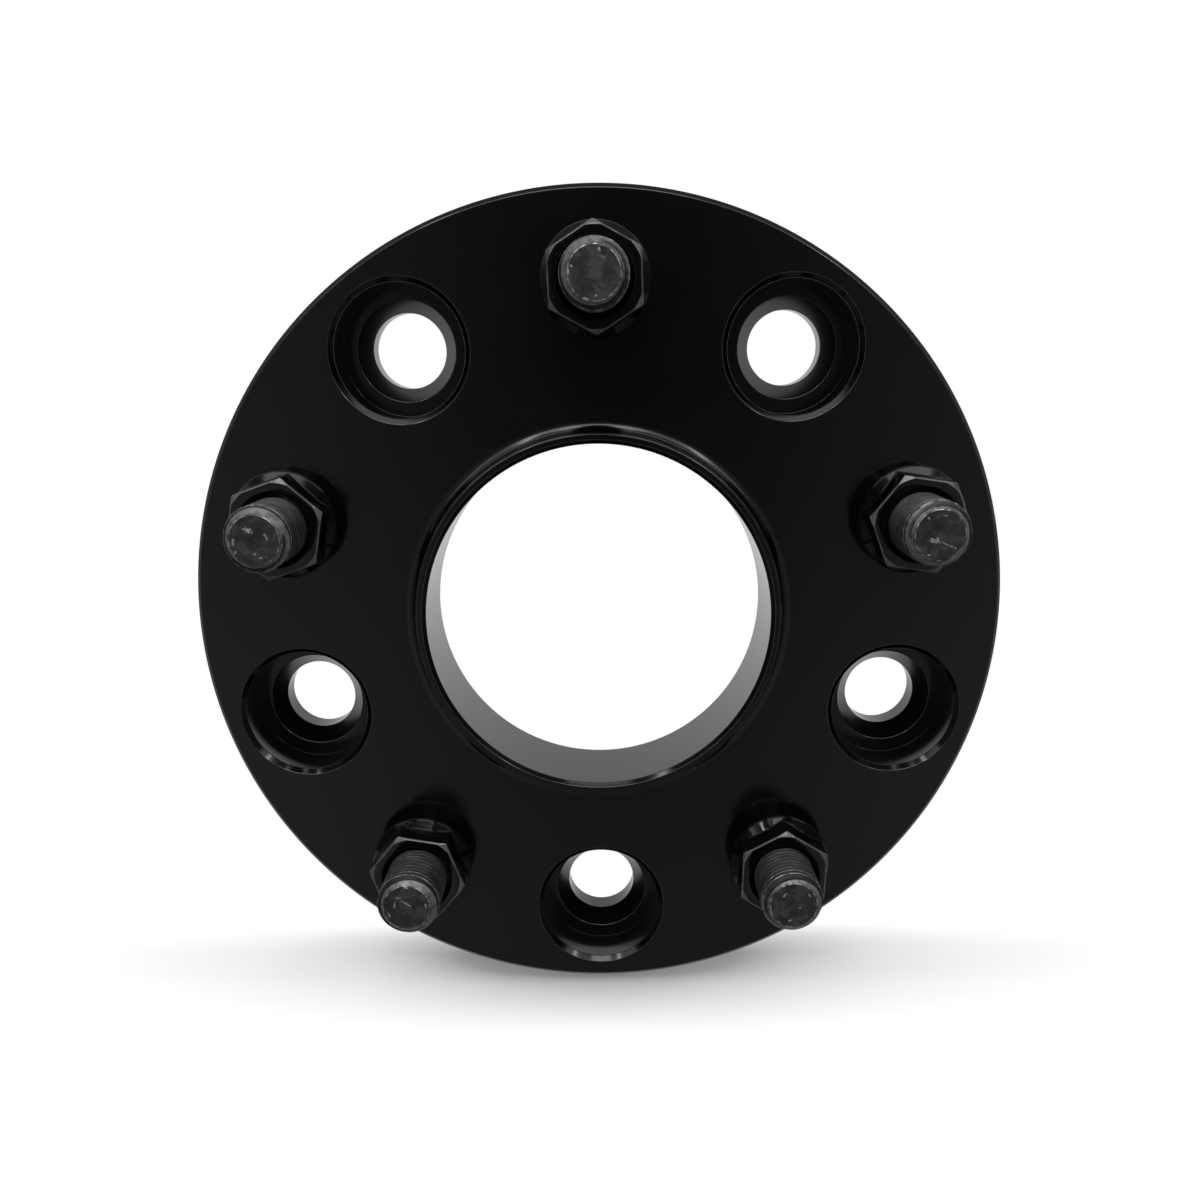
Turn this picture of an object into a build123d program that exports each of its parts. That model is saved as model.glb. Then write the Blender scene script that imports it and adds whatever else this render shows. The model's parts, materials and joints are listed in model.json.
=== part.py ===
from build123d import *
import math
import os

# Wheel spacer: a drilled disc that bolts to a vehicle hub through five recessed lug holes and carries
# the wheel on five studs of its own. Millimetres. The disc axis is +Z and the studs point up it.
# The origin is the centre of the bore on the back face, the face that seats on the vehicle hub.

# Disc
disc_diameter = 161.0
disc_thickness = 20.0
rim_chamfer = 0.8

# Hub bore and the raised lip that centres the wheel
bore_diameter = 68.4
bore_lead_in = 1.5
lip_wall = 2.1
lip_height = 4.0
lip_inner_chamfer = 0.8
lip_outer_chamfer = 0.3
lip_root_radius = 2.0

# Bolt circle, shared by the lug holes and the studs, which alternate round it
bolt_circle_diameter = 127.0
stud_count = 5
first_stud_angle = 90.0

# Conical seats, of the lug holes and of the nuts
seat_angle = 60.0

# Lug holes, each with a conical seat in the floor of a wider bore that takes the socket
lug_hole_diameter = 14.5
lug_floor_thickness = 9.8
seat_width = 2.45
seat_land = 2.8
socket_bore_chamfer = 1.0
hole_edge_chamfer = 0.4

# Wheel studs, pressed in from the back
stud_diameter = 12.0
stud_reach = 26.0
stud_tip_chamfer = 1.5
knurl_height = 0.5
knurl_length = 9.0
knurl_groove_count = 36
knurl_groove_depth = 0.35
relief_depth = 0.3
relief_length = 1.2
head_flange = 4.0
head_thickness = 4.5
head_chamfer = 0.6
head_sink = 0.5
head_clearance = 0.5

# Lug nuts, open at both ends, one on each stud
nut_sides = 6
nut_width = 17.0
nut_height = 12.8
nut_crown_land = 0.25
nut_crown_angle = 30.0
nut_edge_chamfer = 0.25
nut_bulge_overhang = 0.5
nut_bulge_band = 0.9
nut_foot_width = 0.5
nut_mouth_chamfer = 1.1
nut_thread_clearance = 0.05

# How far each nut is turned on its stud, in the order of the studs
nut_turns = (32.0, 19.0, 50.5, 28.5, 51.5)

# How far a cutter runs past the face it breaks through
overrun = 1.0

station_angle = 360.0 / stud_count
bolt_circle_radius = bolt_circle_diameter / 2
bore_radius = bore_diameter / 2
stud_radius = stud_diameter / 2
knurl_radius = stud_radius + knurl_height
head_radius = knurl_radius + head_flange
head_seat = head_sink + head_thickness
nut_bore_radius = stud_radius + nut_thread_clearance
nut_flat_radius = nut_width / 2
nut_corner_radius = nut_flat_radius / math.cos(math.pi / nut_sides)
nut_bulge_start_radius = nut_bore_radius + nut_mouth_chamfer + nut_foot_width
nut_bulge_end_radius = nut_corner_radius + nut_bulge_overhang


def cone_height(run, included_angle):
    """Height over which the radius of a cone changes by run."""
    return run / math.tan(math.radians(included_angle / 2))


nut_seat_height = cone_height(nut_bulge_end_radius - nut_bulge_start_radius, seat_angle)


def turned(*outline):
    """Solid of revolution about Z of a closed outline, whose points are (radius, height)."""
    with BuildPart() as solid:
        with BuildSketch(Plane.XZ):
            with BuildLine():
                Polyline(*outline, close=True)
            make_face()
        revolve(axis=Axis.Z)
    return solid.part


def disc_blank():
    """The turned disc with its bore and its lip, before any hole is drilled."""
    rim_radius = disc_diameter / 2
    lip_radius = bore_radius + lip_wall
    lip_top = disc_thickness + lip_height
    root_start = (lip_radius + lip_root_radius, disc_thickness)
    root_end = (lip_radius, disc_thickness + lip_root_radius)
    bore_top = (bore_radius, lip_top - lip_inner_chamfer)
    with BuildPart() as blank:
        with BuildSketch(Plane.XZ):
            with BuildLine():
                Polyline(
                    bore_top,
                    (bore_radius, bore_lead_in),
                    (bore_radius + bore_lead_in, 0),
                    (rim_radius - rim_chamfer, 0),
                    (rim_radius, rim_chamfer),
                    (rim_radius, disc_thickness - rim_chamfer),
                    (rim_radius - rim_chamfer, disc_thickness),
                    root_start,
                )
                RadiusArc(root_start, root_end, lip_root_radius)
                Polyline(
                    root_end,
                    (lip_radius, lip_top - lip_outer_chamfer),
                    (lip_radius - lip_outer_chamfer, lip_top),
                    (bore_radius + lip_inner_chamfer, lip_top),
                    bore_top,
                )
            make_face()
        revolve(axis=Axis.Z)
    return blank.part


def lug_hole():
    """Cutter for a lug hole: the through hole, the conical seat, and the wider bore for the socket."""
    hole_radius = lug_hole_diameter / 2
    seat_radius = hole_radius + seat_width
    socket_radius = seat_radius + seat_land
    return turned(
        (0, -overrun),
        (hole_radius + hole_edge_chamfer + overrun, -overrun),
        (hole_radius, hole_edge_chamfer),
        (hole_radius, lug_floor_thickness - cone_height(seat_width, seat_angle)),
        (seat_radius, lug_floor_thickness),
        (socket_radius, lug_floor_thickness),
        (socket_radius, disc_thickness - socket_bore_chamfer),
        (socket_radius + socket_bore_chamfer + overrun, disc_thickness + overrun),
        (0, disc_thickness + overrun),
    )


def stud_hole():
    """Cutter for a stud hole: the recess for the stud's head, and the hole that its knurl bites into."""
    recess_radius = head_radius + head_clearance
    return turned(
        (0, -overrun),
        (recess_radius, -overrun),
        (recess_radius, head_seat),
        (knurl_radius, head_seat),
        (knurl_radius, disc_thickness - hole_edge_chamfer),
        (knurl_radius + hole_edge_chamfer + overrun, disc_thickness + overrun),
        (0, disc_thickness + overrun),
    )


def spacer_body():
    """The disc, drilled for the vehicle's lugs midway between its own studs."""
    with BuildPart() as body:
        add(disc_blank())
        with PolarLocations(bolt_circle_radius, stud_count, first_stud_angle):
            add(stud_hole(), mode=Mode.SUBTRACT)
        with PolarLocations(bolt_circle_radius, stud_count, first_stud_angle + station_angle / 2):
            add(lug_hole(), mode=Mode.SUBTRACT)
    return body.part


def stud_blank():
    """The turned stud: head, shank for the knurl, relief groove, thread diameter and tip."""
    relief_radius = stud_radius - relief_depth
    knurl_end = head_seat + knurl_length
    relief_end = knurl_end + relief_length
    stud_top = disc_thickness + stud_reach
    return turned(
        (0, head_sink),
        (head_radius - head_chamfer, head_sink),
        (head_radius, head_sink + head_chamfer),
        (head_radius, head_seat),
        (knurl_radius, head_seat),
        (knurl_radius, knurl_end - (knurl_radius - relief_radius)),
        (relief_radius, knurl_end),
        (relief_radius, relief_end),
        (stud_radius, relief_end + relief_depth),
        (stud_radius, stud_top - stud_tip_chamfer),
        (stud_radius - stud_tip_chamfer, stud_top),
        (0, stud_top),
    )


def wheel_stud():
    """A stud on the Z axis, with V-shaped grooves cut along its shank to make the knurl."""
    with BuildPart() as stud:
        add(stud_blank())
        with BuildSketch(Plane.XY.offset(head_seat)):
            with PolarLocations(knurl_radius, knurl_groove_count):
                RegularPolygon(knurl_groove_depth, 4)
        extrude(amount=knurl_length, mode=Mode.SUBTRACT)
    return stud.part


def nut_base():
    """The nut's conical seat, the bulge above it, and the shoulder up to the hexagon's flats."""
    band_end = nut_seat_height + nut_bulge_band
    shoulder_end = band_end + nut_bulge_end_radius - nut_flat_radius
    return turned(
        (0, 0),
        (nut_bulge_start_radius, 0),
        (nut_bulge_end_radius, nut_seat_height),
        (nut_bulge_end_radius, band_end),
        (nut_flat_radius, shoulder_end),
        (0, shoulder_end),
    )


def nut_hexagon():
    """The nut's hexagon, its outer edges bevelled and its corners turned off round the outer face."""
    crown_radius = nut_flat_radius + nut_crown_land
    corner_drop = (nut_corner_radius - crown_radius) * math.tan(math.radians(nut_crown_angle))
    turned_bar = turned(
        (0, nut_seat_height),
        (nut_corner_radius, nut_seat_height),
        (nut_corner_radius, nut_height - corner_drop),
        (crown_radius, nut_height),
        (0, nut_height),
    )
    with BuildPart() as hexagon:
        with BuildSketch(Plane.XY.offset(nut_seat_height)):
            RegularPolygon(nut_corner_radius, nut_sides)
        extrude(amount=nut_height - nut_seat_height)
        chamfer(hexagon.faces().sort_by(Axis.Z)[-1].edges(), nut_edge_chamfer)
        add(turned_bar, mode=Mode.INTERSECT)
    return hexagon.part


def nut_bore():
    """Cutter for the nut's bore and the countersink at each of its mouths."""
    mouth_radius = nut_bore_radius + nut_mouth_chamfer
    return turned(
        (0, -overrun),
        (mouth_radius + overrun, -overrun),
        (nut_bore_radius, nut_mouth_chamfer),
        (nut_bore_radius, nut_height - nut_mouth_chamfer),
        (mouth_radius + overrun, nut_height + overrun),
        (0, nut_height + overrun),
    )


def lug_nut():
    """A nut on the Z axis, standing on its small end."""
    with BuildPart() as nut:
        add(nut_base())
        add(nut_hexagon())
        add(nut_bore(), mode=Mode.SUBTRACT)
    return nut.part


os.makedirs("parts", exist_ok=True)
export_step(spacer_body(), "parts/spacer_body.step")
stud = wheel_stud()
nut = lug_nut()
stud_places = PolarLocations(bolt_circle_radius, stud_count, first_stud_angle, rotate=False)
for index, place in enumerate(stud_places):
    turn = nut_turns[index % len(nut_turns)]
    seated = place * Pos(0, 0, disc_thickness) * Rot(0, 0, turn)
    export_step(place * stud, f"parts/wheel_stud_{index + 1}.step")
    export_step(seated * nut, f"parts/lug_nut_{index + 1}.step")
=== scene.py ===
import bmesh
import bpy
import json
import math
from mathutils import Matrix, Vector, geometry, noise


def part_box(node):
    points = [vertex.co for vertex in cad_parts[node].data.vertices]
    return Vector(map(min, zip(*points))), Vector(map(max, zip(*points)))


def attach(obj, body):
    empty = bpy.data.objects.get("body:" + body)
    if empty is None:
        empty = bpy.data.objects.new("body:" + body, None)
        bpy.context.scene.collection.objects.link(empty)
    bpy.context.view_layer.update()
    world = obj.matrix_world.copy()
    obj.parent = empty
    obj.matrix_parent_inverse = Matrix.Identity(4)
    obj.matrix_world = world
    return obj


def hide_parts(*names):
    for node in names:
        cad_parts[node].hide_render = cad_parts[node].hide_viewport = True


# Looks of the wheel spacer: a turned and drilled disc, five knurled studs and five open hex nuts.
# Shapes are worked out in millimetres and written in metres, in the frame of the CAD model.

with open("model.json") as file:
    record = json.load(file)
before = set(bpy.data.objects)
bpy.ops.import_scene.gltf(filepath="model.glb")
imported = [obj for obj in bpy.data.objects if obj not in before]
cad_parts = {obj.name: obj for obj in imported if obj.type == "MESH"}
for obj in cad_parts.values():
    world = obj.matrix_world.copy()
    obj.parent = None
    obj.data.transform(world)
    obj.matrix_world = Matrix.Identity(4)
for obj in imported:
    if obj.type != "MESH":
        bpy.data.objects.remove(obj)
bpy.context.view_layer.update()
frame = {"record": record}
MM = 0.001

# The photograph's camera: its place, aim, lens and sensor in millimetres, its roll in degrees, its upward
# shift as a share of the picture, and how near and far it sees in metres
CAMERA_PLACE = (1.886, 50.814, 259.54)
CAMERA_AIM = (0.12, -21.67, 20.0)
CAMERA_ROLL = -0.515
CAMERA_LENS = 36.43
CAMERA_SENSOR = 36.0
CAMERA_SHIFT = 0.1
CAMERA_NEAR, CAMERA_FAR = 0.01, 20.0

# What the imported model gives: boxes in metres, the number of studs, and sizes in millimetres. FACE and the
# names in TOP and LOW are heights, and the other sizes are radii.
mounts = {mount["name"]: mount for mount in frame["record"]["mounts"]}
disc_low, disc_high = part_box("spacer_body")
head_low, head_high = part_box("wheel_stud_1")
nut_low, nut_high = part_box("lug_nut_1")
STATIONS = int(mounts["lug_holes"]["dims"]["count"])
RIM = (disc_high.x - disc_low.x) / 2 / MM
LIP_TOP = disc_high.z / MM
FACE = nut_low.z / MM
BORE = mounts["hub_bore"]["dims"]["r_mm"]
LIP = mounts["centring_lip"]["dims"]["r_mm"]
CIRCLE = mounts["lug_holes"]["dims"]["pcd_mm"] / 2
LUG = mounts["lug_holes"]["dims"]["hole_r_mm"]
STUD = mounts["wheel_studs"]["dims"]["stud_r_mm"]
STUD_TOP = head_high.z / MM
HEAD_LOW = head_low.z / MM
HEAD = (head_high.x - head_low.x) / 2 / MM
NUT_TOP = nut_high.z / MM
BULGE = (nut_high.x - nut_low.x) / 2 / MM

# The disc's other sizes. SEAT and SOCKET are radii, and LUG_FLOOR and SEAT_LOW are heights. SEAT_SLOPE is
# how far a seat's radius grows for each millimetre of height, and FIRST_STUD is an angle in degrees.
RIM_CHAMFER = 0.8
LEAD_IN = 1.5
LIP_INNER_CHAMFER = 0.8
LIP_OUTER_CHAMFER = 0.3
LIP_ROOT = 2.0
SEAT_SLOPE = math.tan(math.radians(30))
LUG_FLOOR = 9.8
SEAT = LUG + 2.45
SEAT_LOW = LUG_FLOOR - (SEAT - LUG) / SEAT_SLOPE
SOCKET = SEAT + 2.8
SOCKET_CHAMFER = 1.0
HOLE_CHAMFER = 0.4
FIRST_STUD = 90.0

# The stud's other sizes. KNURL, RECESS and RELIEF are radii, and the names in TOP, END and START are heights.
KNURL = 6.5
KNURL_GROOVES = 36
KNURL_DEPTH = 0.35
HEAD_TOP = 5.0
HEAD_CHAMFER = 0.6
RECESS = HEAD + 0.5
KNURL_END = 14.0
RELIEF = 5.7
THREAD_START = 15.2
PITCH = 1.5
THREAD_DEPTH = 0.92
TIP_CHAMFER = 1.5
TIP_START = 45.7

# The nut's other sizes. HEX, which is to a flat, CROWN, NUT_BORE, MOUTH and FOOT are radii. CROWN_SLOPE is
# how far the crown drops for each millimetre outwards, and NUT_TURNS are angles in degrees.
HEX = 8.5
HEX_SIDES = 6
CROWN = 8.75
CROWN_SLOPE = math.tan(math.radians(30))
NUT_EDGE = 0.25
NUT_BORE = 6.05
MOUTH = 7.15
FOOT = 7.65
BAND = 0.9
NUT_TURNS = (32.0, 19.0, 50.5, 28.5, 51.5)

# How finely each form is divided round its axis
RIM_COLUMNS = 360
LIP_COLUMNS = 300
LUG_COLUMNS = 120
STUD_HOLE_COLUMNS = 72
STUD_COLUMNS = 144
NUT_COLUMNS_A_SIDE = 36

# Where an outline meets a flat face it goes on for this far, so that its last edge shades evenly
FLAT_RING = 0.3

# Differences below this are rounding, in millimetres
SLACK = 0.01

# In metres, how near two vertices lie to be welded, and how short an edge is left out
WELD = 2e-7
SLIVER = 1e-8


# ---- Mesh helpers

# A corner of an outline is its radius, its height, and how it is rounded: the set-back in millimetres
# and the number of steps. Three more values tell how worn it looks, with its painted highlight, at the
# rounding's start, middle and end.
SHARP = (0, 1)
MACHINED = (0.13, 4)
FINE = (0.08, 3)
UNWORN = (0.0, 0.0, 0.0)
INNER = (0.06, 3, *UNWORN)

# Share of the run between two corners that their roundings may take together
RUN_SHARE = 0.98


def share_of_run(back, other_back):
    """How much of the run between two corners one of them may take for its rounding."""
    return RUN_SHARE * back / (back + other_back)


def rounded(corners):
    """Outline points of corners, each rounded off by its set-back."""
    points = []
    for index, (x, z, back, steps, *_) in enumerate(corners):
        corner = Vector((x, z))
        if back == 0:
            points.append(corner)
            continue
        before = Vector(corners[index - 1][:2]) - corner
        after = Vector(corners[index + 1][:2]) - corner
        near = min(back, before.length * share_of_run(back, corners[index - 1][2]))
        far = min(back, after.length * share_of_run(back, corners[index + 1][2]))
        before.normalize()
        after.normalize()
        for step in range(steps + 1):
            share = step / steps
            points.append(corner + before * near * (1 - share) ** 2 + after * far * share ** 2)
    return points


def wear_and_sheen_of(corners):
    """How worn each point of the rounded outline is, with its painted highlight, from 0 to 1.

    A rounding is worn and carries the painted highlight at its middle only, unless its corner gives values
    of its own for its start, middle and end. A sharp corner has neither.
    """
    shares = []
    for _, _, back, steps, *own in corners:
        first, middle, last = own or (0.0, 1.0, 0.0)
        if back == 0:
            shares.append(0.0)
            continue
        for step in range(steps + 1):
            share = step / steps
            ends = first + (last - first) * share
            shares.append(ends + (middle - ends) * math.sin(math.pi * share))
    return shares


def even_angles(count):
    return [math.tau * step / count for step in range(count)]


def circle(place, radius, height, angles):
    """Points at the given angles round an upright axis at place."""
    return [
        (place[0] + radius * math.cos(angle), place[1] + radius * math.sin(angle), height)
        for angle in angles
    ]


class Shape:
    """Vertices in millimetres, how worn they are with painted highlight and shade, and faces, for one mesh.
    """

    def __init__(self):
        self.points = []
        self.wear = []
        self.faces = []

    def ring(self, points, wear=0.0):
        """Adds points, with one worn and painted light value for all or one for each, and returns their
        indices.
        """
        start = len(self.points)
        self.points += points
        self.wear += [wear] * len(points) if isinstance(wear, float) else wear
        return list(range(start, start + len(points)))

    def bridge(self, low, high):
        """Adds the faces between two closed rings."""
        count = len(low)
        for index in range(count):
            following = (index + 1) % count
            self.faces.append((low[index], low[following], high[following], high[index]))

    def stack(self, rings):
        """Adds the faces from each ring to the next."""
        for low, high in zip(rings, rings[1:]):
            self.bridge(low, high)

    def fan(self, ring, place, height):
        """Closes a ring with triangles to a point at place and height."""
        centre = self.ring([(*place, height)])[0]
        for index in range(len(ring)):
            self.faces.append((ring[index], ring[(index + 1) % len(ring)], centre))

    def lathe(self, corners, columns, place=(0.0, 0.0)):
        """Turns an outline about an upright axis at place and returns its first and last rings."""
        angles = even_angles(columns)
        rings = [
            self.ring(circle(place, point.x, point.y, angles), wear)
            for point, wear in zip(rounded(corners), wear_and_sheen_of(corners))
        ]
        self.stack(rings)
        return rings[0], rings[-1]

    def mesh(self, name):
        """One welded, smooth mesh with outward faces, and how worn it is with painted highlight and shade as
        an attribute.
        """
        data = bpy.data.meshes.new(name)
        data.from_pydata([tuple(value * MM for value in point) for point in self.points], [], self.faces)
        attribute = data.attributes.new("wear", "FLOAT", "POINT")
        attribute.data.foreach_set("value", self.wear)
        work = bmesh.new()
        work.from_mesh(data)
        bmesh.ops.remove_doubles(work, verts=work.verts, dist=WELD)
        bmesh.ops.dissolve_degenerate(work, edges=work.edges, dist=SLIVER)
        bmesh.ops.recalc_face_normals(work, faces=work.faces)
        work.to_mesh(data)
        work.free()
        data.shade_smooth()
        return data


def add_piece(name, shape, node, material):
    """Puts a shape in the scene in place of a CAD node."""
    piece = bpy.data.objects.new(name, shape.mesh(name))
    bpy.context.scene.collection.objects.link(piece)
    piece.data.materials.append(material)
    weighted = piece.modifiers.new("even_shading", "WEIGHTED_NORMAL")
    weighted.keep_sharp = False
    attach(piece, "root")
    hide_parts(node)


def station(index, half_step=False):
    """Place on the bolt circle of a stud, or of the lug hole that follows it."""
    angle = math.radians(FIRST_STUD + (index + 0.5 * half_step) * 360 / STATIONS)
    return CIRCLE * math.cos(angle), CIRCLE * math.sin(angle)


# ---- The disc

# Share of a hole's radius inside which a face lies in the hole, whatever the rounding
IN_HOLE = 0.9999

# How near two corners of a flat face may lie before they count as one
FLAT_TOLERANCE = 1e-9

# A curve with this set-back follows the quarter circle of the lip's root most closely
LIP_ROOT_CURVE = (LIP_ROOT * 1.17, 16, *UNWORN)


def rim_outline():
    return (
        (RIM - RIM_CHAMFER - FLAT_RING, FACE, *SHARP),
        (RIM - RIM_CHAMFER, FACE, *MACHINED),
        (RIM, FACE - RIM_CHAMFER, *MACHINED),
        (RIM, RIM_CHAMFER, *MACHINED),
        (RIM - RIM_CHAMFER, 0, *MACHINED),
        (RIM - RIM_CHAMFER - FLAT_RING, 0, *SHARP),
    )


def lip_outline():
    """From the fillet at the lip's root over the lip and down the bore."""
    return (
        (LIP + LIP_ROOT_CURVE[0] + FLAT_RING, FACE, *SHARP),
        (LIP, FACE, *LIP_ROOT_CURVE),
        # The lip's outer chamfer is lighter along a line: partly worn, partly painted highlight
        (LIP, LIP_TOP - LIP_OUTER_CHAMFER, *FINE, 0.0, 0.8, 1.0),
        (LIP - LIP_OUTER_CHAMFER, LIP_TOP, *FINE, 1.0, 0.8, 0.0),
        (BORE + LIP_INNER_CHAMFER, LIP_TOP, *MACHINED),
        (BORE, LIP_TOP - LIP_INNER_CHAMFER, *MACHINED),
        (BORE, LEAD_IN, *MACHINED),
        (BORE + LEAD_IN, 0, *MACHINED),
        (BORE + LEAD_IN + FLAT_RING, 0, *SHARP),
    )


def lug_hole_outline():
    """Down the socket bore, over the conical seat and through the hole."""
    return (
        (SOCKET + SOCKET_CHAMFER + FLAT_RING, FACE, *SHARP),
        (SOCKET + SOCKET_CHAMFER, FACE, *MACHINED),
        (SOCKET, FACE - SOCKET_CHAMFER, *MACHINED),
        (SOCKET, LUG_FLOOR, *INNER),
        (SEAT, LUG_FLOOR, *MACHINED),
        (LUG, SEAT_LOW, *MACHINED),
        (LUG, HOLE_CHAMFER, *FINE),
        (LUG + HOLE_CHAMFER, 0, *FINE),
        (LUG + HOLE_CHAMFER + FLAT_RING, 0, *SHARP),
    )


def stud_hole_outline():
    """Down the hole that the knurl bites into, and the recess for the stud's head."""
    return (
        (KNURL + HOLE_CHAMFER + FLAT_RING, FACE, *SHARP),
        (KNURL + HOLE_CHAMFER, FACE, *FINE),
        (KNURL, FACE - HOLE_CHAMFER, *FINE),
        (KNURL, HEAD_TOP, *SHARP),
        (RECESS, HEAD_TOP, *INNER),
        (RECESS, 0, *FINE),
        (RECESS + FLAT_RING, 0, *SHARP),
    )


def plane_with_holes(shape, outer, inner, holes):
    """A flat face between an outer and an inner ring, with round holes given as (place, radius, ring)."""
    loops = [outer, inner] + [ring for _, _, ring in holes]
    flat, index_of, edges = [], [], []
    for loop in loops:
        start = len(flat)
        flat += [Vector(shape.points[index][:2]) for index in loop]
        index_of += loop
        edges += [(start + step, start + (step + 1) % len(loop)) for step in range(len(loop))]
    corners, _, triangles, origins, _, _ = geometry.delaunay_2d_cdt(flat, edges, [], 0, FLAT_TOLERANCE)
    rim = Vector(shape.points[outer[0]][:2]).length
    bore = Vector(shape.points[inner[0]][:2]).length
    for triangle in triangles:
        middle = sum((corners[index] for index in triangle), Vector((0, 0))) / 3
        in_hole = any((middle - Vector(place)).length < radius * IN_HOLE for place, radius, _ in holes)
        if bore * IN_HOLE < middle.length < rim and not in_hole:
            shape.faces.append(tuple(index_of[origins[index][0]] for index in triangle))


def disc_shape():
    """The disc with its bore, its lip and its ten holes, in one closed mesh."""
    shape = Shape()
    rim_front, rim_back = shape.lathe(rim_outline(), RIM_COLUMNS)
    lip_front, lip_back = shape.lathe(lip_outline(), LIP_COLUMNS)
    drillings = ((lug_hole_outline(), LUG_COLUMNS, True), (stud_hole_outline(), STUD_HOLE_COLUMNS, False))
    front_holes, back_holes = [], []
    for index in range(STATIONS):
        for corners, columns, half_step in drillings:
            place = station(index, half_step)
            front, back = shape.lathe(corners, columns, place)
            front_holes.append((place, corners[0][0], front))
            back_holes.append((place, corners[-1][0], back))
    plane_with_holes(shape, rim_front, lip_front, front_holes)
    plane_with_holes(shape, rim_back, lip_back, back_holes)
    return shape


# ---- The studs

# The thread's profile over one pitch, as (share of the pitch, share of the depth)
THREAD_STEPS = (
    (0.0, 0.0), (0.08, 0.0), (0.11, 0.04), (0.14, 0.16), (0.38, 0.93), (0.42, 1.0),
    (0.58, 1.0), (0.62, 0.93), (0.86, 0.16), (0.89, 0.04), (0.92, 0.0),
)

# The thread is drawn this many turns longer than it is, and from this far below its start, so that each
# column reaches both its ends. Each stud's thread lags by a share of a turn behind the one before.
EXTRA_TURNS = 3
TURNS_BELOW = 2.5
THREAD_LAG = 0.17

# Wear and painted highlight of the thread's crests away from the tip, how far down from the tip's chamfer
# the brighter crests reach, how fast that fades off a crest, up to what share of the depth, and how dark
# the painted shade in the hollows is there
LEAST_CREST_WEAR_AND_SHEEN = 0.06
WORN_AND_SHEEN_LENGTH = 2.2
CREST_FADE = 7.0
CREST_EDGE = 0.1
HOLLOW_SHADE_START = 0.5

# How much lighter the chamfer at the tip is, and how much of the thread's depth and height it takes to be on
# it
CHAMFER_LIGHTNESS = 0.32
CHAMFER_SHARE = 0.04
CHAMFER_MARGIN = 0.1

# Where the middle ring of the knurl lies below its top, and the radius of the flat under the head
KNURL_RING_DROP = 0.6
HEAD_FLAT = 3.0

# Roundings of the head's outer edges and of its seat, and of the edge at the tip, which is worn bright
# and carries a painted highlight
HEAD_EDGE = (0.15, 4)
HEAD_SEAT_EDGE = (0.05, 2)
TIP_EDGE = (0.12, 4, 0.2, 1.0, 0.0)

# Rings across the stud's outer end
TIP_RINGS = 38

# How much of its worn look and painted highlight a bright edge shows: at least, on average, and how much
# that varies
CHATTER_LEAST = 0.1
CHATTER_MEAN = 0.55
CHATTER_SPREAD = 2.6

# How far the stud's outer end is pushed in, how much that varies, how strong the noise is where a dent
# starts, and how deep a dent gets for it
DIP_MEAN = 0.012
DIP_SPREAD = 0.02
DENT_START = 0.3
DENT_DEPTH = 0.15

# How far a scuff fills its length and width, how ragged it is, and how sharply it ends
SCUFF_REACH = 0.95
SCUFF_RAGGEDNESS = 0.9
SCUFF_SHARPNESS = 2.2

# Scuffs on the outer end of each stud: place from its axis, length and width in millimetres, and
# direction in degrees
SCUFFS = (
    ((0.9, 3.6, 0.9, 0.35, -70.0), (-1.5, -4.1, 1.1, 0.5, -20.0), (-4.3, 0.2, 1.6, 0.35, 85.0),
     (-3.8, 1.0, 0.5, 0.4, 0.0), (0.3, -3.6, 0.5, 0.4, 0.0), (2.9, -3.4, 1.3, 0.3, 35.0)),
    ((-0.9, 1.8, 1.9, 0.95, -15.0), (2.2, 0.65, 1.3, 0.4, -65.0), (-3.7, -0.4, 1.5, 0.45, 80.0),
     (-3.4, -2.0, 0.9, 0.3, 60.0), (1.0, -3.1, 0.5, 0.3, 0.0), (-0.1, -2.4, 0.5, 0.3, 20.0)),
    ((0.0, 0.8, 3.6, 0.28, -35.0), (-1.6, 2.0, 1.7, 0.4, 15.0), (-2.3, 0.4, 1.5, 0.35, 75.0),
     (0.2, 4.2, 1.0, 0.5, 0.0), (3.7, 0.3, 0.9, 0.3, -70.0), (-3.4, -1.6, 1.1, 0.3, -60.0)),
    ((-1.9, 2.1, 1.2, 0.4, 50.0), (1.2, -0.6, 0.8, 0.35, -30.0), (3.0, 2.0, 0.9, 0.35, -50.0),
     (-0.6, -3.2, 0.9, 0.35, 10.0)),
    ((-0.9, -1.0, 2.3, 0.95, -10.0), (1.6, -1.8, 3.2, 0.25, -22.0), (-3.8, -2.4, 1.2, 0.4, -45.0),
     (-2.2, 2.8, 1.2, 0.25, -60.0), (-1.8, -3.5, 0.8, 0.35, 10.0), (0.6, 3.4, 0.7, 0.25, 0.0)),
)


def unevenness(x, y, fineness, layer):
    """Smooth noise at a point, about -1 to 1, with fineness waves a millimetre, in one of many layers."""
    return noise.noise(Vector((x * fineness, y * fineness, layer)))


def chatter(x, y, seed):
    """How much of its worn look and painted highlight an edge shows at a point, from 0 to 1."""
    rough = unevenness(x, y, fineness=1.3, layer=seed * 5.7)
    return min(1.0, max(CHATTER_LEAST, CHATTER_MEAN + CHATTER_SPREAD * rough))


def tip_dip(x, y, seed):
    """How far handling has pushed in the stud's outer end at a point, in millimetres."""
    soft = unevenness(x, y, fineness=0.55, layer=seed * 7.3) * DIP_SPREAD
    dent = max(0.0, unevenness(x, y, fineness=0.9, layer=seed * 3.1 + 4.0) - DENT_START) * DENT_DEPTH
    return max(0.0, DIP_MEAN + soft) + dent


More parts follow.
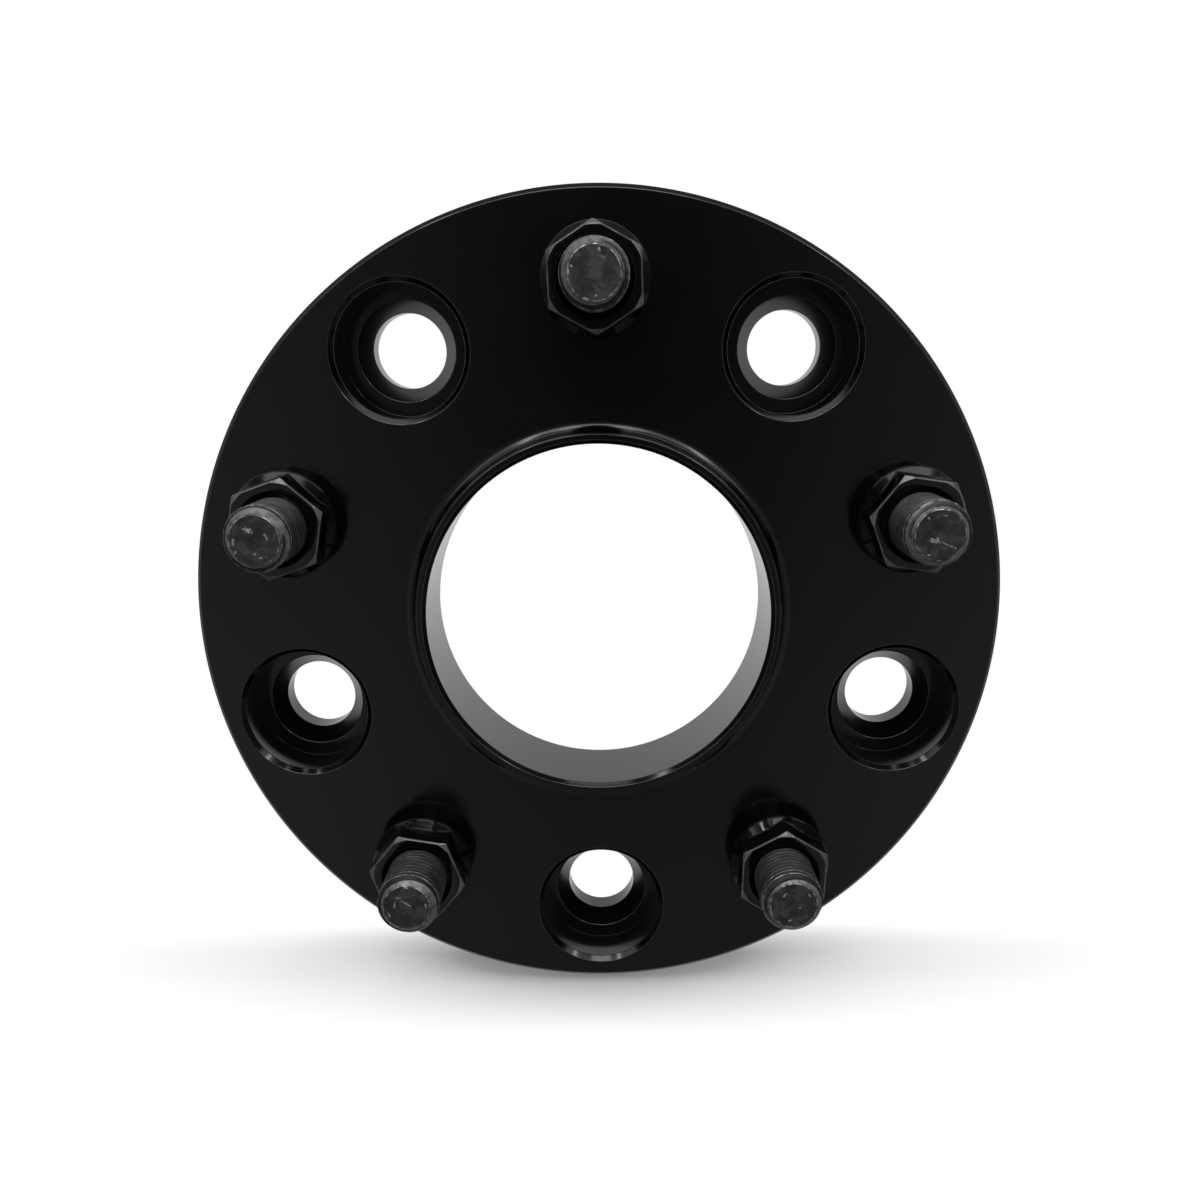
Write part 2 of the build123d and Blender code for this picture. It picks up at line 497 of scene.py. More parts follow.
def scuff_at(x, y, scuffs):
    """How scuffed the stud's outer end is at a point, from 0 to 1."""
    most = 0.0
    for middle_x, middle_y, length, width, direction in scuffs:
        turn = math.radians(direction)
        along = ((x - middle_x) * math.cos(turn) + (y - middle_y) * math.sin(turn)) / (length / 2)
        aside = ((y - middle_y) * math.cos(turn) - (x - middle_x) * math.sin(turn)) / (width / 2)
        reach = SCUFF_REACH + SCUFF_RAGGEDNESS * unevenness(x, y, fineness=3.1, layer=length)
        most = max(most, min(1.0, SCUFF_SHARPNESS * (reach - math.hypot(along, aside))))
    return most


def stud_limit(radius, height):
    """A radius held inside the stud's turned outline, and close to the relief's where the thread starts."""
    past_start = height - THREAD_START
    tip = STUD - TIP_CHAMFER + (STUD_TOP - height)
    return max(min(radius, RELIEF + past_start, tip), RELIEF - 2 * past_start)


def thread_rows(angles, lag):
    """Rows of the right-handed thread that follow its helix. Each row is a list of (radius, height).

    Heights stop at the thread's start and at the tip, where the row runs on along the outline.
    """
    rows = []
    turn_count = math.ceil((TIP_START - THREAD_START) / PITCH) + EXTRA_TURNS
    for turn in range(turn_count):
        for share, dip in THREAD_STEPS:
            row = []
            for angle in angles:
                turns_up = turn - TURNS_BELOW + share + lag + angle / math.tau
                height = min(max(THREAD_START + turns_up * PITCH, THREAD_START), TIP_START)
                row.append((stud_limit(STUD - dip * THREAD_DEPTH, height), height))
            rows.append(row)
    return rows


def crest_wear_and_sheen(height, shown):
    """How worn the thread's crests are with painted highlight, most on the first ones below the tip's
    chamfer.
    """
    depth = max(0.0, STUD_TOP - TIP_CHAMFER - height)
    return LEAST_CREST_WEAR_AND_SHEEN + (1 - LEAST_CREST_WEAR_AND_SHEEN) * math.exp(-(depth / WORN_AND_SHEEN_LENGTH) ** 4) * shown


def thread_wear_sheen_and_shade(x, y, radius, height, dip):
    """How worn the thread is at a point, with painted highlight, and below 0 painted shade in its hollows."""
    chamfer_gap = STUD_TOP + STUD - TIP_CHAMFER - height - radius
    cut = min(1.0, chamfer_gap / THREAD_DEPTH)
    if cut < CHAMFER_SHARE and height > STUD_TOP - TIP_CHAMFER + CHAMFER_MARGIN:
        return CHAMFER_LIGHTNESS
    if dip < CREST_EDGE:
        return crest_wear_and_sheen(height, chatter(x, y, height)) * (1.0 - CREST_FADE * dip)
    # Below 0: painted shade in the hollows
    return -max(0.0, min(1.0, HOLLOW_SHADE_START + dip) * cut)


def add_head(shape, place):
    head_outline = (
        (HEAD_FLAT, HEAD_LOW, *SHARP),
        (HEAD - HEAD_CHAMFER, HEAD_LOW, *HEAD_EDGE),
        (HEAD, HEAD_LOW + HEAD_CHAMFER, *HEAD_EDGE),
        (HEAD, HEAD_TOP, *HEAD_SEAT_EDGE),
        (KNURL, HEAD_TOP, *SHARP),
    )
    first, _ = shape.lathe(head_outline, STUD_COLUMNS, place)
    shape.fan(first, place, HEAD_LOW)


def knurl_radius(angle):
    """Radius of the knurl, which has a V-shaped groove between each two crests."""
    wave = abs((angle * KNURL_GROOVES / math.tau) % 1.0 - 0.5) * 2
    return KNURL - KNURL_DEPTH * max(0.0, 2 * wave - 1)


def add_shank(shape, angles, place):
    """The knurl, from the head up, and the relief groove above it."""
    knurl_top = KNURL_END - (KNURL - RELIEF)
    rings = [shape.ring(circle(place, KNURL, HEAD_TOP, angles))]
    for height in (HEAD_TOP, knurl_top - KNURL_RING_DROP, knurl_top):
        grooved = [circle(place, knurl_radius(angle), height, (angle,))[0] for angle in angles]
        rings.append(shape.ring(grooved))
    shape.stack(rings)
    relief_outline = (
        (RELIEF, KNURL_END, *SHARP),
        (RELIEF, THREAD_START, *SHARP),
    )
    relief_low, _ = shape.lathe(relief_outline, STUD_COLUMNS, place)
    shape.bridge(rings[-1], relief_low)


def add_thread(shape, rows, angles, place):
    """Joins the rows of a thread, whose end meets the row one turn higher."""
    rings = []
    for index, row in enumerate(rows):
        dip = THREAD_STEPS[index % len(THREAD_STEPS)][1]
        around, wear = [], []
        for (radius, height), angle in zip(row, angles):
            x, y = radius * math.cos(angle), radius * math.sin(angle)
            around.append((place[0] + x, place[1] + y, height))
            wear.append(thread_wear_sheen_and_shade(x, y, radius, height, dip))
        rings.append(shape.ring(around, wear))
    rows_a_turn = len(THREAD_STEPS)
    for index in range(len(rings) - 1):
        low, high = rings[index], rings[index + 1]
        for column in range(len(angles) - 1):
            shape.faces.append((low[column], low[column + 1], high[column + 1], high[column]))
        if index + rows_a_turn + 1 < len(rings):
            low_end, high_end = rings[index + rows_a_turn], rings[index + rows_a_turn + 1]
            shape.faces.append((low[-1], low_end[0], high_end[0], high[-1]))


def tip_outline():
    """The chamfer's end and the flat outer end as (point, worn and painted highlight share), chamfer to axis.
    """
    flat = STUD - TIP_CHAMFER
    corners = (
        (flat + STUD_TOP - TIP_START, TIP_START, *SHARP),
        (flat, STUD_TOP, *TIP_EDGE),
        (flat - FLAT_RING, STUD_TOP, *SHARP),
    )
    outline = list(zip(rounded(corners), wear_and_sheen_of(corners)))
    for step in range(1, TIP_RINGS):
        outline.append((Vector(((flat - FLAT_RING) * (1 - step / TIP_RINGS), STUD_TOP)), 0.0))
    return outline


def add_tip(shape, angles, place, index):
    """The stud's outer end, dented, worn at its edge with a painted highlight there, and scuffed."""
    seed = index + 1
    rings = []
    for point, outline_wear_and_sheen in tip_outline():
        around, wear = [], []
        for angle in angles:
            x, y = point.x * math.cos(angle), point.x * math.sin(angle)
            dip = 0.0 if point.y < TIP_START + SLACK else tip_dip(x, y, seed)
            around.append((place[0] + x, place[1] + y, point.y - dip))
            edge_wear_and_sheen = outline_wear_and_sheen * chatter(x, y, seed + 10.0)
            wear.append(max(edge_wear_and_sheen, scuff_at(x, y, SCUFFS[index])))
        rings.append(shape.ring(around, wear))
    shape.stack(rings)
    shape.fan(rings[-1], place, STUD_TOP - tip_dip(0, 0, seed))


def stud_shape(index):
    """A stud, from its head at the back to its outer end."""
    shape = Shape()
    place = station(index)
    angles = even_angles(STUD_COLUMNS)
    add_head(shape, place)
    add_shank(shape, angles, place)
    add_thread(shape, thread_rows(angles, THREAD_LAG * index), angles, place)
    add_tip(shape, angles, place, index)
    return shape


# ---- The nuts

# How much of its radius the hexagon loses at a corner, and the angle in radians over which that fades
CORNER_LOSS = 0.006
CORNER_SPREAD = 0.012

# Roundings of the nut's edges: the countersinks, the crown, the shoulder, the bulge and the foot
COUNTERSINK_EDGE = (0.07, 3)
CROWN_EDGE = (0.05, 3)
SHOULDER_EDGE = (0.35, 4, *UNWORN)
BULGE_EDGE = (0.4, 6, *UNWORN)
FOOT_EDGE = (0.1, 3)


def nut_angles():
    """Angles from the middle of a flat, closer together towards the corners."""
    half = math.pi / HEX_SIDES
    angles = []
    for side in range(HEX_SIDES):
        for step in range(NUT_COLUMNS_A_SIDE):
            share = 2 * step / NUT_COLUMNS_A_SIDE - 1
            angles.append((2 * side + 1) * half + half * share * (1.5 - 0.5 * share * share))
    return angles


def nut_outline(angle):
    """The nut's outside at an angle, as rounded corners from the countersink down to the foot."""
    half = math.pi / HEX_SIDES
    from_flat = angle % (2 * half) - half
    lean = math.cos(from_flat)
    corner = CORNER_SPREAD / (half - abs(from_flat) + CORNER_SPREAD)
    hexagon = HEX / lean * (1 - corner * CORNER_LOSS)
    bevelled = (HEX - NUT_EDGE) / lean
    border = min(CROWN, bevelled)
    flat_drop = max(NUT_EDGE, (hexagon - CROWN) * CROWN_SLOPE)
    crown_run = 1 / CROWN_SLOPE
    # How far below the top the cone round the crown crosses the bevel along a flat
    crossing = (bevelled - CROWN) / (crown_run - 1 / lean)
    if 0 < crossing < NUT_EDGE:
        kink_radius, kink_drop = CROWN + crossing * crown_run, crossing
    else:
        kink_radius, kink_drop = (border + hexagon) / 2, flat_drop / 2
    seat_top = FACE + (BULGE - FOOT) / SEAT_SLOPE
    band_top = seat_top + BAND
    shoulder_top = band_top + BULGE - hexagon
    # The countersink, crown and bevel corners give how worn they are with their painted highlight
    return (
        (NUT_BORE, NUT_TOP - (MOUTH - NUT_BORE), *SHARP),
        (MOUTH, NUT_TOP, *COUNTERSINK_EDGE, 0.0, 0.2, 0.0),
        (border, NUT_TOP, *CROWN_EDGE, 0.0, 1.0, 0.8),
        (kink_radius, NUT_TOP - kink_drop, *CROWN_EDGE, 0.8, 0.8, 0.8),
        (hexagon, NUT_TOP - flat_drop, *FINE, 0.8, 1.0, 0.0),
        (hexagon, shoulder_top, *SHOULDER_EDGE),
        (BULGE, band_top, *BULGE_EDGE),
        (BULGE, seat_top, *BULGE_EDGE),
        (FOOT, FACE, *FOOT_EDGE),
        (MOUTH, FACE, *COUNTERSINK_EDGE),
        (NUT_BORE, FACE + (MOUTH - NUT_BORE), *SHARP),
    )


def nut_shape(index):
    """A nut that stands on the disc's face, turned on its stud."""
    shape = Shape()
    place = station(index)
    turn = math.radians(NUT_TURNS[index])
    outlines = [nut_outline(angle) for angle in nut_angles()]
    columns = [rounded(outline) for outline in outlines]
    angles = [angle + turn for angle in nut_angles()]
    rings = []
    for row, wear in enumerate(wear_and_sheen_of(outlines[0])):
        around = [circle(place, *column[row], (angle,))[0] for angle, column in zip(angles, columns)]
        rings.append(shape.ring(around, wear))
    shape.stack(rings)
    countersink = MOUTH - NUT_BORE
    bore_low = shape.ring(circle(place, NUT_BORE, FACE + countersink, angles))
    bore_high = shape.ring(circle(place, NUT_BORE, NUT_TOP - countersink, angles))
    shape.bridge(bore_low, bore_high)
    return shape


# ---- Shader helpers

# The Mix node has sockets of the same names for each kind of value. These are the ones for colours.
MIX_FACTOR, MIX_FIRST, MIX_SECOND, MIX_RESULT = 0, 6, 7, 2


def fill(tree, socket, value):
    """Links a socket to another one, or sets its own value."""
    if isinstance(value, bpy.types.NodeSocket):
        tree.links.new(value, socket)
    else:
        socket.default_value = value


def colour(value):
    """A grey number or a colour of three numbers with its alpha, and a socket as it is."""
    if isinstance(value, float):
        return value, value, value, 1.0
    return (*value, 1.0) if isinstance(value, tuple) else value


def add(tree, kind, inputs=(), **settings):
    """A shader node with its settings, and its inputs set or linked."""
    made = tree.nodes.new("ShaderNode" + kind)
    for name, value in settings.items():
        setattr(made, name, value)
    for name, value in dict(inputs).items():
        fill(tree, made.inputs[name], value)
    return made


def ramp(tree, factor, stops):
    """A colour ramp over (place, grey or colour) stops."""
    made = add(tree, "ValToRGB", {"Fac": factor})
    elements = made.color_ramp.elements
    while len(elements) < len(stops):
        elements.new(0.5)
    for element, (place, value) in zip(elements, stops):
        element.position = place
        element.color = colour(value)
    return made.outputs["Color"]


def ramp_mm(tree, distance, stops):
    """A colour ramp over a distance on the object, whose stops are in millimetres."""
    return ramp(tree, distance, tuple((place * MM, value) for place, value in stops))


def mixed(tree, factor, first, second):
    """A colour between two greys or colours, by a factor."""
    made = add(tree, "Mix", data_type="RGBA")
    fill(tree, made.inputs[MIX_FACTOR], factor)
    fill(tree, made.inputs[MIX_FIRST], colour(first))
    fill(tree, made.inputs[MIX_SECOND], colour(second))
    return made.outputs[MIX_RESULT]


def calculate(tree, operation, first, second=0.0):
    """The result of a Math node."""
    made = add(tree, "Math", operation=operation)
    fill(tree, made.inputs[0], first)
    fill(tree, made.inputs[1], second)
    return made.outputs[0]


def length_of(tree, vector):
    return add(tree, "VectorMath", {0: vector}, operation="LENGTH").outputs["Value"]


def noise_of(tree, scale, detail=3.0, roughness=0.55):
    """Noise that is fixed to the object, with scale waves to a metre."""
    place = add(tree, "TexCoord").outputs["Object"]
    return add(tree, "TexNoise", {"Vector": place, "Scale": scale, "Detail": detail,
                                  "Roughness": roughness}).outputs["Fac"]


def wear_sheen_and_shade_on(tree):
    """How worn each point is, with its painted highlight and painted shade, as the mesh carries it."""
    return add(tree, "Attribute", attribute_name="wear").outputs["Fac"]


def bumped(tree, height, strength, distance, normal=None):
    """The surface's normal tilted by a height, on top of an earlier normal where one is given.

    The distance is the relief's full height in metres.
    """
    inputs = {"Height": height, "Strength": strength, "Distance": distance}
    if normal is not None:
        inputs["Normal"] = normal
    return add(tree, "Bump", inputs).outputs["Normal"]


def new_material(name):
    """A material with its node tree and its shader."""
    material = bpy.data.materials.new(name)
    material.use_nodes = True
    tree = material.node_tree
    shader = next(made for made in tree.nodes if made.type == "BSDF_PRINCIPLED")
    return material, tree, shader


# ---- Materials

# Colours and greys. A pair is for the darker and the lighter blotches.
DISC_BLACKS = ((0.0006, 0.0006, 0.0007), (0.0014, 0.0014, 0.0016))
DISC_SPECK = 0.015
# Grey of the disc's edges: partly worn anodising, partly painted highlight
DISC_WEAR_AND_SHEEN = (0.04, 0.04, 0.041)
NUT_BLACKS = ((0.0006, 0.0006, 0.0007), (0.0016, 0.0016, 0.0018))
NUT_SPECK = 0.05
# Grey of the nut's edges and bevels: partly worn coating, partly painted highlight
NUT_WEAR_AND_SHEEN = (0.1, 0.1, 0.101)
STEEL_GREYS = ((0.024, 0.024, 0.0246), (0.035, 0.035, 0.036))
STEEL_CRYSTAL = 0.055
STEEL_PALE_STAIN = (0.07, 0.07, 0.071)
STEEL_DARK_STAIN = 0.012
# Painted shade for the thread's hollows
STEEL_PAINTED_HOLLOW_SHADE = 0.004
# Grey of the studs' crests and edges: partly worn steel, partly painted highlight
STEEL_WEAR_AND_SHEEN = 0.4
PAPER_WHITES = (0.90, 0.93)

# How much of their painted shade the thread's hollows show
HOLLOW_SHADE_SHARE = 0.95

# Roughness of the fillet at the lip's root and of the lug seats
LIP_ROOT_ROUGHNESS = 0.27
SEAT_ROUGHNESS = 0.17


def disc_colour(tree, blotch):
    """Near-black anodising with a few pale specks, grey along its edges: partly worn, partly painted
    highlight.
    """
    speck = noise_of(tree, 900.0, detail=2.0)
    base = mixed(tree, blotch, *DISC_BLACKS)
    base = mixed(tree, ramp(tree, speck, ((0.77, 0.0), (0.8, 1.0))), base, DISC_SPECK)
    patchy = ramp(tree, noise_of(tree, 260.0), ((0.35, 0.2), (0.7, 0.55)))
    edge_wear_and_sheen = calculate(tree, "MULTIPLY", wear_sheen_and_shade_on(tree), patchy)
    return mixed(tree, edge_wear_and_sheen, base, DISC_WEAR_AND_SHEEN)


def on_lug_seats(tree, height, radius):
    """1 on the conical seats of the lug holes, and 0 elsewhere."""
    level = ramp_mm(tree, height, ((SEAT_LOW - 0.25, 0.0), (SEAT_LOW + 0.25, 1.0),
                                   (LUG_FLOOR - 0.2, 1.0), (LUG_FLOOR + 0.1, 0.0)))
    between = ramp_mm(tree, radius, ((LIP + 4.0, 0.0), (LIP + 9.0, 1.0), (RIM - 1.5, 1.0), (RIM - 1.0, 0.0)))
    return calculate(tree, "MULTIPLY", level, between)


def disc_roughness(tree, coordinates, radius, blotch):
    """The turned walls are glossiest, the faces less so, and the lug seats and the lip's root least."""
    walls = ramp(tree, blotch, ((0.3, 0.1), (0.7, 0.14)))
    lip_root = ramp_mm(tree, radius, ((LIP - 0.2, 0.0), (LIP + 0.2, 1.0),
                                      (LIP + LIP_ROOT + 0.3, 1.0), (LIP + LIP_ROOT + 0.9, 0.0)))
    walls = mixed(tree, lip_root, walls, LIP_ROOT_ROUGHNESS)
    height = add(tree, "SeparateXYZ", {0: coordinates["Object"]}).outputs["Z"]
    walls = mixed(tree, on_lug_seats(tree, height, radius), walls, SEAT_ROUGHNESS)
    faces = ramp(tree, blotch, ((0.3, 0.13), (0.7, 0.17)))
    upward = add(tree, "SeparateXYZ", {0: coordinates["Normal"]}).outputs["Z"]
    flat = ramp(tree, calculate(tree, "ABSOLUTE", upward), ((0.97, 0.0), (0.999, 1.0)))
    return mixed(tree, flat, walls, faces)


def disc_relief(tree, radius):
    """Fine grain, and the rings that the lathe left round the bore."""
    grain = noise_of(tree, 2600.0, detail=4.0)
    turning = add(tree, "TexNoise", {"W": radius, "Scale": 4200.0, "Detail": 2.0},
                  noise_dimensions="1D").outputs["Fac"]
    grained = bumped(tree, grain, strength=0.1, distance=0.00002)
    return bumped(tree, turning, strength=0.05, distance=0.00002, normal=grained)


def anodised_disc():
    """Black anodised aluminium."""
    material, tree, shader = new_material("anodised_disc")
    coordinates = add(tree, "TexCoord").outputs
    flattened = add(tree, "VectorMath", {0: coordinates["Object"], 1: (1.0, 1.0, 0.0)},
                    operation="MULTIPLY").outputs[0]
    radius = length_of(tree, flattened)
    blotch = noise_of(tree, 45.0)
    fill(tree, shader.inputs["Base Color"], disc_colour(tree, blotch))
    fill(tree, shader.inputs["Roughness"], disc_roughness(tree, coordinates, radius, blotch))
    fill(tree, shader.inputs["Normal"], disc_relief(tree, radius))
    shader.inputs["Specular IOR Level"].default_value = 0.36
    return material


def nut_coating():
    """Black coating with a fine orange peel and small specks, grey along the edges and bevels: partly worn,
    partly painted highlight.
    """
    material, tree, shader = new_material("nut_coating")
    peel = noise_of(tree, 900.0)
    blotch = noise_of(tree, 120.0)
    speck = noise_of(tree, 1400.0, detail=2.0)
    base = mixed(tree, blotch, *NUT_BLACKS)
    base = mixed(tree, ramp(tree, speck, ((0.74, 0.0), (0.78, 1.0))), base, NUT_SPECK)
    patchy = ramp(tree, noise_of(tree, 420.0), ((0.3, 0.35), (0.7, 1.0)))
    edge_wear_and_sheen = calculate(tree, "MULTIPLY", wear_sheen_and_shade_on(tree), patchy)
    fill(tree, shader.inputs["Base Color"], mixed(tree, edge_wear_and_sheen, base, NUT_WEAR_AND_SHEEN))
    fill(tree, shader.inputs["Roughness"], ramp(tree, peel, ((0.3, 0.07), (0.7, 0.11))))
    fill(tree, shader.inputs["Normal"], bumped(tree, peel, strength=0.1, distance=0.00004))
    shader.inputs["Specular IOR Level"].default_value = 0.4
    return material


def steel_colour(tree, wear, bright, crystal):
    """Grey phosphating, mottled and stained, with painted shade in the thread's hollows, and lighter where it
    is worn and where a highlight is painted.
    """
    blotch = noise_of(tree, 420.0, detail=5.0, roughness=0.62)
    patch = noise_of(tree, 380.0, detail=6.0, roughness=0.6)
    mottling = ramp(tree, blotch, ((0.38, 0.0), (0.62, 1.0)))
    base = mixed(tree, mottling, *STEEL_GREYS)
    base = mixed(tree, ramp(tree, crystal, ((0.5, 0.0), (0.85, 0.3))), base, STEEL_CRYSTAL)
    base = mixed(tree, ramp(tree, patch, ((0.51, 0.0), (0.55, 0.5))), base, STEEL_PALE_STAIN)
    base = mixed(tree, ramp(tree, patch, ((0.38, 0.5), (0.43, 0.0))), base, STEEL_DARK_STAIN)
    # Painted shade in the thread's hollows, where the attribute is below 0
    hollow_shade = calculate(tree, "MAXIMUM", calculate(tree, "MULTIPLY", wear, -HOLLOW_SHADE_SHARE))
    base = mixed(tree, hollow_shade, base, STEEL_PAINTED_HOLLOW_SHADE)
    return mixed(tree, bright, base, STEEL_WEAR_AND_SHEEN)


def stud_steel():
    """Phosphated steel."""
    material, tree, shader = new_material("stud_steel")
    crystal = noise_of(tree, 3200.0)
    wear = wear_sheen_and_shade_on(tree)
    wear_and_sheen_noise = noise_of(tree, 900.0, detail=4.0, roughness=0.6)
    patchy = ramp(tree, wear_and_sheen_noise, ((0.38, 0.4), (0.56, 1.0)))
    # Lighter crests and edges: partly worn, partly painted highlight
    bright = calculate(tree, "MAXIMUM", calculate(tree, "MULTIPLY", wear, patchy))
    fill(tree, shader.inputs["Base Color"], steel_colour(tree, wear, bright, crystal))
    fill(tree, shader.inputs["Roughness"], ramp(tree, bright, ((0.0, 0.45), (1.0, 0.35))))
    fill(tree, shader.inputs["Normal"], bumped(tree, crystal, strength=0.15, distance=0.00002))
    shader.inputs["Metallic"].default_value = 0.6
    shader.inputs["Specular IOR Level"].default_value = 0.25
    return material


# ---- Stage

# The photo's shadow, in millimetres on the floor: the y of its middle, how far it reaches to the sides,
# to the back and to the front, and how it grows lighter past a line across its front, by -y
SHADOW_Y = -86.0
SHADOW_SIDE = 118.0
SHADOW_BACK = 9.0
SHADOW_FRONT = 22.0
SHADOW_LINE = ((90.3, 0.0), (92.2, 0.3))

# How much white the camera sees in place of the lit floor, by reach of the shadow and, under the disc,
# by distance from its axis
SHADOW_WHITE = ((0.28, 0.0), (0.36, 0.147), (0.65, 0.47), (1.0, 1.0))
UNDER_DISC_WHITE = ((RIM - 6.5, 1.0), (RIM - 2.0, 0.0))

# How bright the floor is to reflections, by distance from the axis
REFLECTED_FLOOR = ((34.0, 0.75), (45.0, 0.72), (74.5, 0.8), (80.0, 0.6), (200.0, 0.4), (500.0, 0.06))

# How bright the studio is at the front, towards -Y, and how bright it is at least
FRONT_GLOW = 0.16
LEAST_GLOW = 0.04

# Half the floor's side, and how far it lies below the disc, in metres
FLOOR_REACH = 4.0
FLOOR_DROP = 1e-5

# The point in metres that the lamps face
LAMP_AIM = Vector((0.0, 0.0, 0.02))


def shade_reach(tree, place):
    """How far a floor point is from the middle of the disc's shadow, which ends at 1."""
    across = add(tree, "SeparateXYZ", {0: place}).outputs
    side = calculate(tree, "DIVIDE", across["X"], SHADOW_SIDE * MM)
    ahead = calculate(tree, "SUBTRACT", across["Y"], SHADOW_Y * MM)
    behind = calculate(tree, "DIVIDE", ahead, SHADOW_BACK * MM)
    before = calculate(tree, "DIVIDE", ahead, -SHADOW_FRONT * MM)
    away = calculate(tree, "MAXIMUM", behind, before)
    past_line = ramp_mm(tree, calculate(tree, "MULTIPLY", across["Y"], -1.0), SHADOW_LINE)
    return length_of(tree, add(tree, "CombineXYZ", {"X": side, "Y": away, "Z": past_line}).outputs[0])


def floor_material():
    """White floor that keeps the disc's shadow, and shows white through its bore and holes."""
    material, tree, shader = new_material("studio_floor")
    tree.nodes.remove(shader)
    place = add(tree, "TexCoord").outputs["Object"]
    radius = length_of(tree, place)
    paper = mixed(tree, noise_of(tree, 40.0, detail=4.0, roughness=0.5), *PAPER_WHITES)
    lit = add(tree, "BsdfDiffuse", {"Color": paper}).outputs["BSDF"]
    light_path = add(tree, "LightPath").outputs
    mirrored = calculate(tree, "MAXIMUM", light_path["Is Glossy Ray"], light_path["Is Transmission Ray"])
    tint = mixed(tree, mirrored, 1.0, ramp_mm(tree, radius, REFLECTED_FLOOR))
    white = add(tree, "Emission", {"Color": tint, "Strength": 1.0}).outputs["Emission"]
    inside = ramp_mm(tree, radius, UNDER_DISC_WHITE)
    outside = ramp(tree, shade_reach(tree, place), SHADOW_WHITE)
    factor = calculate(tree, "MAXIMUM", calculate(tree, "MAXIMUM", inside, outside), mirrored)
    seen = calculate(tree, "MAXIMUM", light_path["Is Camera Ray"], mirrored)
    factor = calculate(tree, "MULTIPLY", factor, seen)
    both = add(tree, "MixShader", {0: factor, 1: lit, 2: white}).outputs["Shader"]
    output = next(made for made in tree.nodes if made.type == "OUTPUT_MATERIAL")
    tree.links.new(both, output.inputs["Surface"])
    return material


def floor():
    """A square floor just under the disc."""
    data = bpy.data.meshes.new("studio_floor")
    signs = ((-1, -1), (1, -1), (1, 1), (-1, 1))
    corners = [(x * FLOOR_REACH, y * FLOOR_REACH, -FLOOR_DROP) for x, y in signs]
    data.from_pydata(corners, [], [(0, 1, 2, 3)])
    piece = bpy.data.objects.new("studio_floor", data)
    bpy.context.scene.collection.objects.link(piece)
    data.materials.append(floor_material())


def rise(tree, component, shift, rate, most):
    """Light that grows from nothing to most as a component of the direction leaves its shift."""
    apart = calculate(tree, "SUBTRACT", component, shift)
    square = calculate(tree, "MULTIPLY", apart, apart)
    fall = calculate(tree, "EXPONENT", calculate(tree, "MULTIPLY", square, -rate))
    return calculate(tree, "MULTIPLY", calculate(tree, "SUBTRACT", 1.0, fall), most)


def studio_world():
    """Soft light from above, dim straight overhead where the camera stands, and a faint one in front."""
    made = bpy.data.worlds.new("studio")
    bpy.context.scene.world = made
    made.use_nodes = True
    tree = made.node_tree
    across = add(tree, "SeparateXYZ", {0: add(tree, "TexCoord").outputs["Generated"]}).outputs
    sides = rise(tree, across["X"], shift=0.02, rate=12.0, most=0.45)
    ends = rise(tree, across["Y"], shift=0.02, rate=8.0, most=0.22)
    height = calculate(tree, "MULTIPLY", across["Z"], across["Z"])
    above = calculate(tree, "MULTIPLY", calculate(tree, "ADD", sides, ends), height)
    front = calculate(tree, "MULTIPLY", calculate(tree, "MINIMUM", across["Y"]), -FRONT_GLOW)
    glow = calculate(tree, "ADD", calculate(tree, "ADD", above, front), LEAST_GLOW)
    background = next(node for node in tree.nodes if node.type == "BACKGROUND")
    tree.links.new(glow, background.inputs["Color"])


def lamp(name, azimuth, elevation, distance, width, height, radiance):
    """A rectangular lamp that faces the disc.

    Azimuth is from +Y towards +X, in degrees, lengths are in metres, and a radiance of 1 is white.
    """
    data = bpy.data.lights.new(name, "AREA")
    data.shape = "RECTANGLE"
    data.size, data.size_y = width, height
    data.energy = radiance * math.pi * width * height
    made = bpy.data.objects.new(name, data)
    bpy.context.scene.collection.objects.link(made)
    turn, lift = math.radians(azimuth), math.radians(elevation)
    towards = Vector((math.sin(turn) * math.cos(lift), math.cos(turn) * math.cos(lift), math.sin(lift)))
    made.location = towards * distance + LAMP_AIM
    made.rotation_mode = "QUATERNION"
    made.rotation_quaternion = (-towards).to_track_quat("-Z", "Y")
    made.visible_camera = False


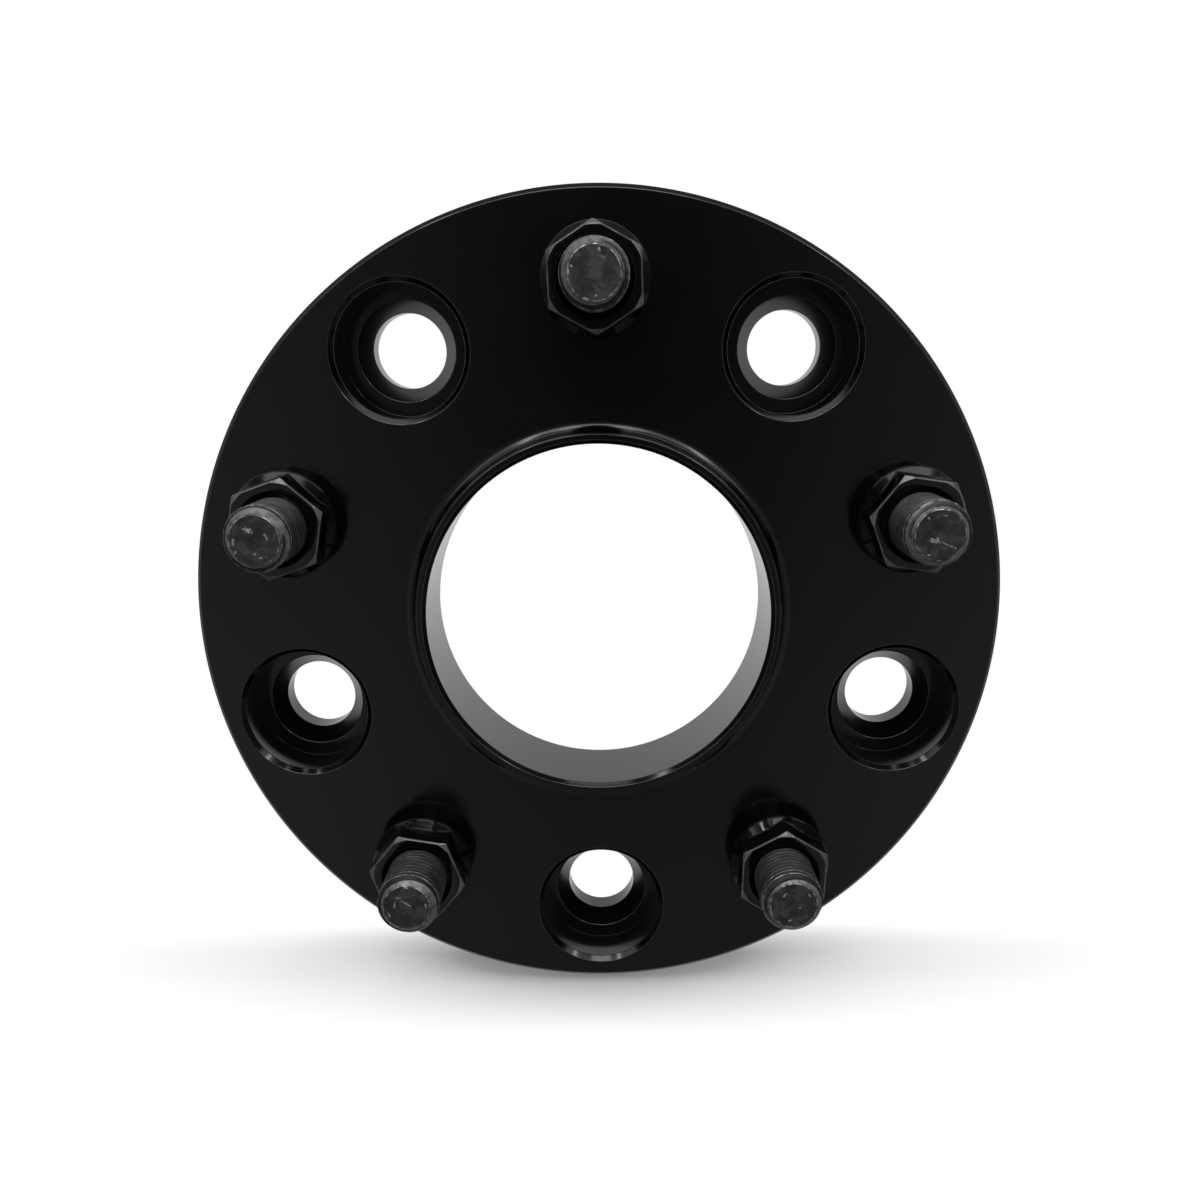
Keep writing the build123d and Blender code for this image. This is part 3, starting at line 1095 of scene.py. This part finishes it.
def lamps():
    """Two wide lamps for the chamfers, and small ones for the glints on the lip, the holes and the nuts."""
    lamp("low_strip", azimuth=0.0, elevation=6.0, distance=1.3, width=3.2, height=0.26, radiance=2.0)
    lamp("soft_box", azimuth=0.0, elevation=45.5, distance=1.3, width=2.8, height=0.78, radiance=1.5)
    lamp("key_lamp", azimuth=0.0, elevation=40.2, distance=1.2, width=0.54, height=0.68, radiance=4.2)
    lamp("front_strip", azimuth=0.0, elevation=18.3, distance=1.2, width=0.54, height=0.1, radiance=3.0)
    lamp("strip_lamp_left", azimuth=-27.0, elevation=37.2, distance=1.2, width=0.09, height=0.86,
         radiance=8.5)
    lamp("strip_lamp_right", azimuth=40.0, elevation=40.5, distance=1.2, width=0.09, height=0.74,
         radiance=8.5)


def camera():
    """The camera that took the photograph, as far as its picture tells."""
    data = bpy.data.cameras.new("camera")
    data.lens = CAMERA_LENS
    data.sensor_width = CAMERA_SENSOR
    data.shift_y = CAMERA_SHIFT
    data.clip_start, data.clip_end = CAMERA_NEAR, CAMERA_FAR
    made = bpy.data.objects.new("camera", data)
    bpy.context.scene.collection.objects.link(made)
    place = Vector(CAMERA_PLACE) * MM
    forward = (Vector(CAMERA_AIM) * MM - place).normalized()
    level = forward.cross(Vector((0.0, 1.0, 0.0))).normalized()
    roll = math.radians(CAMERA_ROLL)
    right = level * math.cos(roll) + level.cross(forward) * math.sin(roll)
    rotation = Matrix((right, right.cross(forward), -forward)).transposed()
    made.matrix_world = Matrix.Translation(place) @ rotation.to_4x4()
    bpy.context.scene.camera = made


# ---- Scene

disc_finish = anodised_disc()
steel_finish = stud_steel()
nut_finish = nut_coating()
add_piece("disc", disc_shape(), "spacer_body", disc_finish)
for number in range(STATIONS):
    add_piece(f"threaded_stud_{number + 1}", stud_shape(number), f"wheel_stud_{number + 1}",
              steel_finish)
    add_piece(f"hex_nut_{number + 1}", nut_shape(number), f"lug_nut_{number + 1}",
              nut_finish)

floor()
studio_world()
lamps()
camera()
bpy.context.scene.view_settings.view_transform = "Standard"
